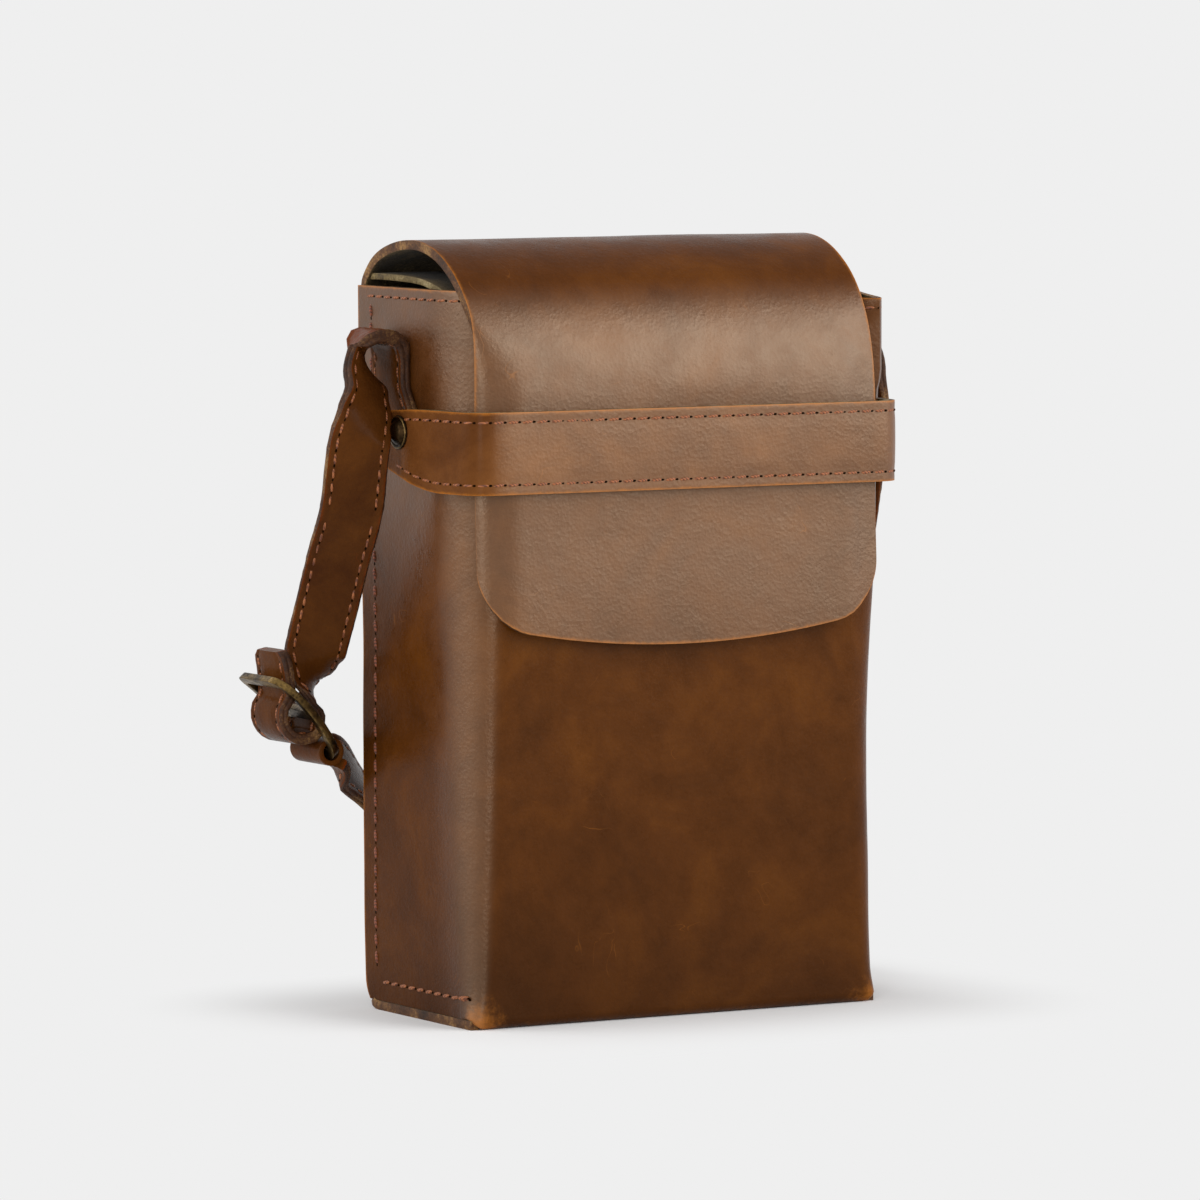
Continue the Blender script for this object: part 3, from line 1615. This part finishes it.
@dataclass(frozen=True)
class SlideBuckle:
    """The curved double-slot slide, softened from the CAD casting."""

    metal: bpy.types.Material
    softening: float = 0.42
    seam: float = 0.01
    rubbing: Waves = ((0.3, 3.0, 2.5),)

    def build(self, casting: Object) -> Object:
        """Copy the casting, join its faces and round every edge.

        Args:
            casting: The CAD node of the buckle.

        Returns:
            The new object.
        """
        piece = bpy.data.objects.new("slide_buckle", casting.data.copy())
        bpy.context.scene.collection.objects.link(piece)
        dress(piece, [self.metal])
        edit(piece, lambda: merge(self.seam),
             lambda: bpy.ops.mesh.dissolve_limited(angle_limit=math.radians(3)), face_out)
        add_bevel(piece, "cast_edges", self.softening, 35, 3)
        finish_mesh(piece, 40)
        paint(piece, "wear", [0.25 + relief(np.array(vertex.co) / MM, self.rubbing)
                              for vertex in piece.data.vertices])
        return piece


@dataclass
class StrapRig:
    """Both runs of the carrying strap, from the rivets to the buckle."""

    strap: Strap
    tab_x: float = 58.89
    top: float = 174.0
    reach_x: float = -56.0
    reach_y: float = 8.2
    left_fold: Pair = (158.3, 4.5)
    right_fold: Pair = (152.5, 7.8)
    bar: Point = (-66.782, 31.0, 62.45)
    bar_reach: float = 2.75
    eye_turns: int = 24
    weave: Point = (-73.9, 31.0, 71.5)
    weave_radius: float = 5.8
    left_split_z: float = 122.0
    right_split_z: float = 110.0
    left_bend: tuple[Point, Point] = ((-0.0608, 0.0082, 0.160), (-0.0632, 0.0082, 0.160))
    right_bend: tuple[Point, Point] = ((0.066, 0.0082, 0.160), (0.072, 0.0082, 0.15925))
    cracks: Waves = ((0.32, 9, 3.6),)
    crests: tuple[Span, Span] = ((154, 160.5), (152.5, 159))  # left and right
    worn_crest: Pair = (0.95, 0.75)
    worn_eye: float = 0.3

    def tab_and_fold(self, side: int, fold: Pair,
                     last: Point = (0.0, -1.0, 0.0)) -> list[tuple[float, ...]]:
        """Return the route from the rivet up and over the fold.

        Args:
            side: -1 on the left and 1 on the right.
            fold: Height of the fold's centre, and its radius along the strap's middle.
            last: Width direction at the fold's end.

        Returns:
            Centres and width directions, as six numbers each.
        """
        rise, radius = fold
        low = [(0.0, 134.6), (3.6, 141.5), (7.3, 147.5), (8.2, 151.5), (self.reach_y, rise)]
        route = [(side * self.tab_x, y, z, 0.0, -1.0, 0.0) for y, z in low]
        centre = self.tab_x + radius
        for index in range(1, 9):
            turn = index / 8 * math.pi
            across = mix(np.array([0.0, -1.0, 0.0]), np.array(last), ease(3, 9, index))
            route.append((side * (centre - radius * math.cos(turn)), self.reach_y,
                          rise + radius * math.sin(turn), *across))
        return route

    def left_route(self) -> list[tuple[float, ...]]:
        """Return the whole left run: tab, fold, hanging twist, buckle and tail."""
        hanging = [  # out, back and down from the top of the side, and the width direction
            (12.7, -6, 23.5, -0.85, -0.5, 0), (14.2, -7.8, 30, -0.97, -0.1, 0),
            (16.6, -8.8, 38, -0.95, 0.3, 0), (15, -2.7, 52, -0.89, 0.45, 0),
            (13.8, 6.2, 64.5, -0.83, 0.56, 0), (13.2, 13, 76, -0.83, 0.55, 0),
            (13, 18.8, 86.5, -0.9, 0.42, 0), (13.1, 21.2, 92.5, -0.95, -0.3, 0),
            (13.3, 22.4, 97.5, -0.45, -0.9, 0), (13.4, 22.8, 102.5, 0, -1, 0)]
        bar_way, face = np.array([0.65606, 0, -0.75471]), np.array([0.75471, 0, 0.65606])
        woven = [np.array(self.weave) + self.weave_radius * (math.cos(turn) * bar_way
                                                             - math.sin(turn) * face)
                 for turn in np.linspace(0, math.pi, 7)]
        return (self.tab_and_fold(-1, self.left_fold, (-0.5, -0.87, 0))
                + [(self.reach_x - out, self.reach_y + back, self.top - drop, *across)
                   for out, back, drop, *across in hanging]
                + [(*spot, 0, -1, 0) for spot in woven]
                + [(-78, 31, 81.5, 0, -1, 0), (-79, 31, 87, 0, -1, 0)])

    def right_route(self) -> list[tuple[float, ...]]:
        """Return the whole right run: tab, fold, side, floor behind the case and buckle bar."""
        flat = [(87.5, 103.5), (75.5, 116), (58, 122), (39, 120.5), (22, 112), (9, 99), (0, 84)]
        end = np.array(self.bar) + self.bar_reach * np.array([0.72, 0.4, -0.57])
        return (self.tab_and_fold(1, self.right_fold) + [
            (74.6, 9.6, 141, 0.35, -0.94, 0), (74.2, 13.2, 127, 0.8, -0.6, 0),
            (74.4, 18, 105, 1, -0.1, 0), (75.2, 22.5, 75, 1, -0.05, 0),
            (76.4, 26, 45, 1, -0.1, 0), (78, 28.5, 20, 1, -0.15, 0),
            (79.2, 31.8, 10, 1, -0.2, 0), (80.6, 37, 4.2, 1, -0.2, 0),
            (82.6, 44.5, 2.05, 1, -0.25, 0), (85.2, 53, 2.35, 1, -0.25, 0.1),
            (88.3, 63, 5.5, 0.87, -0.2, 0.45), (91, 74, 6.85, 0.5, -0.1, 0.87),
            (92, 87.5, 7.65, 0.12, 0, 1)] + [(x, y, 7.65, 0, 0, 1) for x, y in flat] + [
            (-8, 70, 9.15, 0.1, 0.1, 1), (-16.5, 59, 15.5, 0.3, 0.3, 0.9),
            (-26, 52, 26.5, 0.3, 0.45, 0.85), (-36, 47, 39, 0.1, 0.6, 0.8),
            (-47, 42.5, 50, 0.1, 0.75, 0.66), (-57.5, 36.2, 58.2, 0.28, 0.62, 0.7),
            (*end, 0, 1, 0.15)])

    @staticmethod
    def split(frames: Sequence[Frame], z: float) -> tuple[Sequence[Frame], Sequence[Frame]]:
        """Part a run where it first hangs below z after its highest point.

        Args:
            frames: Cross-sections of the run.
            z: The height.

        Returns:
            The part at the case and the part that hangs, which share one cross-section.
        """
        crest = max(range(len(frames)), key=lambda index: frames[index].centre[2])
        index = next(i for i in range(crest, len(frames)) if frames[i].centre[2] < z)
        return frames[:index + 1], frames[index:]

    def wear_at(self, place: np.ndarray) -> float:
        """Return how cracked and worn the grain is, most on the crests of the folds.

        Args:
            place: A place on the strap.

        Returns:
            The wear, from 0 to 1.
        """
        x, y, z = place
        if y > self.reach_y + 3 or z < 148:
            return max(0.0, relief(place, self.cracks))
        side = int(x > 0)
        return self.worn_crest[side] * ease(*self.crests[side], z)

    def eye(self) -> Object:
        """Build the sewn eye that holds the buckle's bar."""
        half = [(-7.4, 2.15), (-7.5, 2.5), (-7.5, 3.1), (-7.3, 3.4)]
        ring = half[:1] + [(-x, radius) for x, radius in half] + half[::-1]
        x, y, z = self.bar
        turns = np.linspace(0, math.tau, self.eye_turns + 1)
        piece = grid_piece("strap_eye", np.array([
            [(x + radius * math.cos(turn), y + across, z + radius * math.sin(turn))
             for across, radius in ring] for turn in turns]))
        paint(piece, "wear", [self.worn_eye] * len(piece.data.vertices))
        dress(piece, self.strap.hide)
        close_mesh(piece, 45)
        return piece

    def build(self) -> None:
        """Build both runs, each as a part at the case and a part that hangs."""
        stitches = StitchRow(pitch=3.8, stand=0.1, width=0.75)
        runs = (("left", self.left_route(), self.left_split_z, self.left_bend, "strap_short"),
                ("right", self.right_route(), self.right_split_z, self.right_bend, "strap_long"))
        for side, route, level, (start, end), node in runs:
            outer = 1 if side == "left" else -1
            near, far = self.split(self.strap.frames(route), level)
            for part, cut in (("end", near), ("hanging", far)):
                skin = self.strap.skin(f"strap_{part}_{side}", cut, self.wear_at, outer,
                                       part == "hanging" and side == "left")
                sewn = stitches.sew(f"strap_{part}_stitches_{side}",
                                    self.strap.seam_routes(cut), self.strap.thread)
                for piece, slot in ((skin, "strap_leather"), (sewn, "waxed_thread")):
                    report(piece)
                    if part == "end":
                        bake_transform(piece)
                    else:
                        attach(piece, "strap")
                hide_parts(f"strap_end_{side}" if part == "end" else node)
        eye = self.eye()
        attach(eye, "strap")
        report(eye)


@dataclass(frozen=True)
class Studio:
    """White sweep, lamps and the camera, in metres and watts."""

    backdrop: str = "EFEFEF"
    paper: str = "E6E6E6"
    ambient: float = 0.5
    floor_half: float = 6.0
    footprint: Point = (0.056, 0.027, 0.0)
    fade_from: float = -0.001
    fade_to: float = 0.06
    lamp_target: Point = (0.0, 0.0, 0.10)
    camera_place: Point = (-0.9762, -1.6549, 0.2464)
    camera_target: Point = (-0.00606, 0.0, 0.09815)
    lens: float = 240.0
    sensor: float = 36.0

    @staticmethod
    def seen(graph: Graph) -> Socket:
        """Return 1 for the rays that show the background: camera, glossy and transmission."""
        path = graph.add("LightPath").outputs
        rays = graph.math("MAXIMUM", path["Is Camera Ray"], path["Is Glossy Ray"])
        return graph.math("MAXIMUM", rays, path["Is Transmission Ray"])

    @staticmethod
    def hang(name: str, data: bpy.types.ID, place: Point, target: Point) -> Object:
        """Add a lamp or a camera that faces a target, and return it.

        Args:
            name: The object's name.
            data: The lamp or the camera.
            place: Its place.
            target: The point that it faces.

        Returns:
            The new object.
        """
        item = bpy.data.objects.new(name, data)
        bpy.context.scene.collection.objects.link(item)
        item.location = place
        item.rotation_euler = (Vector(target) - Vector(place)).to_track_quat("-Z", "Y").to_euler()
        return item

    def floor(self) -> None:
        """Lay the floor, which takes the shadow near the case and fades into the backdrop."""
        bpy.ops.mesh.primitive_plane_add(size=2 * self.floor_half)
        floor = bpy.context.object
        floor.name = "studio_floor"
        material = bpy.data.materials.new("matt_white_sweep")
        graph = Graph(material)
        spot = graph.place
        for operation, other in (("ABSOLUTE", {}), ("SUBTRACT", {1: self.footprint}),
                                 ("MAXIMUM", {})):
            spot = graph.add("VectorMath", {"operation": operation, 0: spot, **other}
                             ).outputs["Vector"]
        length = graph.add("VectorMath", {"operation": "LENGTH", 0: spot}).outputs["Value"]
        share = graph.math("MULTIPLY", graph.spread(length, self.fade_from, self.fade_to),
                           self.seen(graph))
        paper = graph.add("BsdfDiffuse", {"Color": linear(self.paper)})
        glow = graph.add("Emission", {"Color": linear(self.backdrop), "Strength": 1.0})
        graph.show(graph.add("MixShader", {0: share, 1: paper.outputs[0], 2: glow.outputs[0]}))
        dress(floor, [material])
        floor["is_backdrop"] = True

    def world(self) -> None:
        """Show the backdrop colour all round, and light the case evenly and softly."""
        world = bpy.data.worlds.new("studio")
        bpy.context.scene.world = world
        graph = Graph(world)
        soft, shown = (graph.add("Background", {"Color": linear(code), "Strength": strength}
                                 ).outputs[0]
                       for code, strength in (("FFFFFF", self.ambient), (self.backdrop, 1.0)))
        graph.show(graph.add("MixShader", {0: self.seen(graph), 1: soft, 2: shown}),
                   "OutputWorld")

    def lamp(self, name: str, place: Point, width: float, height: float, power: float) -> None:
        """Hang one softbox that faces the case.

        Args:
            name: The lamp's name.
            place: Its place in metres.
            width: Its width in metres.
            height: Its height in metres.
            power: Its power in watts.
        """
        data = bpy.data.lights.new(name, "AREA")
        data.shape = "RECTANGLE"
        data.size, data.size_y, data.energy = width, height, power
        self.hang(name, data, place, self.lamp_target).visible_camera = False

    def build(self) -> None:
        """Build the whole studio, and place the camera for a square picture."""
        scene = bpy.context.scene
        scene.view_settings.view_transform = "Standard"
        self.floor()
        self.world()
        self.lamp("softbox_right", (0.58, -0.645, 0.50), 0.8, 0.76, 7.4)
        self.lamp("softbox_left", (-0.72, 0.19, 0.38), 0.6, 0.5, 2.6)
        self.lamp("strip_left", (-0.66, -0.78, 0.35), 0.26, 0.6, 3.0)
        self.lamp("softbox_back", (-0.5, 0.8, 1.2), 0.7, 0.7, 3.6)
        data = bpy.data.cameras.new("camera")
        data.lens, data.sensor_width, data.sensor_fit = self.lens, self.sensor, "HORIZONTAL"
        scene.camera = self.hang("camera", data, self.camera_place, self.camera_target)


class Case:
    """The whole camera case: every piece and what it stands for."""

    def __init__(self, nodes: dict[str, Object]) -> None:
        """Make the finishes and forms.

        Args:
            nodes: The CAD nodes by name.
        """
        self.nodes = nodes
        self.form, self.flap = BoxForm(), FlapForm()
        cut, self.flesh = CutLeather().make(), FleshLeather().make()
        self.body = (GrainLeather().make(), cut, self.flesh)
        self.band = (GrainLeather("band_grain_leather", "4A2810", "5C3517", "704420").make(),
                     cut, self.flesh)
        strap_cut = CutLeather("strap_cut_edge", "26140A", "472914", "8E6A3E").make()
        self.straps = (GrainLeather("strap_grain_leather", "3E1F0A", "4F2B0E", "5E3512",
                                    "6C2C07", polished=False).make(), strap_cut, strap_cut)
        fuzz = CutLeather("brushed_flesh_edge", "3A2E1C", "75633F", "B8A67C").make()
        self.lining = (self.flesh, fuzz, self.flesh)
        hole = CutLeather("needle_hole_leather", "0C0602", "160B04", "22130A", shine=0.0).make()
        self.thread = (WaxedThread().make(), hole)
        self.soiled = (WaxedThread("soiled_linen_thread", "45200F", "84452A").make(), hole)
        self.brass = AntiqueBrass().make()
        self.cap_brass = AntiqueBrass("blackened_brass_cap", "160F09", "3C2C1A",
                                      "8E7448").make()

    def settle(self, piece: Object, body: str, slot: str, *nodes: str) -> None:
        """Let a piece ride a body, take a material slot and stand for its CAD nodes.

        Args:
            piece: The object.
            body: The body that carries it.
            slot: Its material slot.
            nodes: The CAD nodes that it stands for, if any.
        """
        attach(piece, body)
        if nodes:
            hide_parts(*nodes)
        report(piece)

    def build_leather(self) -> None:
        """Build the wall, the back strip, the dust flap and the closing band."""
        wall = FoldedWall(self.form, self.flap, self.body)
        self.settle(wall.build(), "case", "body_leather", "front_shell")
        strip = BackStrip(self.form, self.flap, self.body).build()
        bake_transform(strip)
        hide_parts("back_and_base", "flap")
        report(strip)
        dust = DustFlap(self.lining).build()
        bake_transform(dust)
        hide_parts("dust_flap")
        report(dust)
        outer, inner, stitches = ClosingBand(self.band, self.lining, self.thread).build()
        self.settle(outer, "case", "band_leather", "closing_band")
        self.settle(inner, "case", "lining_leather", "closing_band_lining")
        self.settle(stitches, "case", "waxed_thread", "band_thread_lower", "band_thread_upper")
        for node, piece in WallSeams(wall, self.thread, self.soiled).build().items():
            self.settle(piece, "case", "waxed_thread",
                        *([] if node.startswith("_") else [node]))

    def build_hardware(self) -> None:
        """Build the rivets and the slide buckle."""
        rivet = Rivet(self.cap_brass)
        for side in Side:
            self.settle(rivet.build(side), "case", "antique_brass",
                        f"rivet_{side.name.lower()}")
        buckle = SlideBuckle(self.brass).build(self.nodes["buckle_frame"])
        self.settle(buckle, "buckle", "antique_brass", "buckle_frame")

    def refinish(self) -> None:
        """Give the CAD parts that stay in sight their finishes."""
        for name in ("rim_facing", "base_pad"):
            dress(self.nodes[name], [self.flesh])
        for side in Side:
            dress(self.nodes[f"rivet_washer_{side.name.lower()}"], [self.brass])

    def build(self) -> None:
        """Build everything."""
        self.build_leather()
        StrapRig(Strap(self.straps, self.thread)).build()
        self.build_hardware()
        self.refinish()


def corners() -> list[list[float]]:
    """Return the lowest and highest corner of what is shown, as plain lists."""
    return [[float(value) for value in corner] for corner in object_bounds()]


def main() -> None:
    """Load the frame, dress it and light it."""
    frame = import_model()
    Case(frame["nodes"]).build()
    Studio().build()


if __name__ == "__main__":
    main()
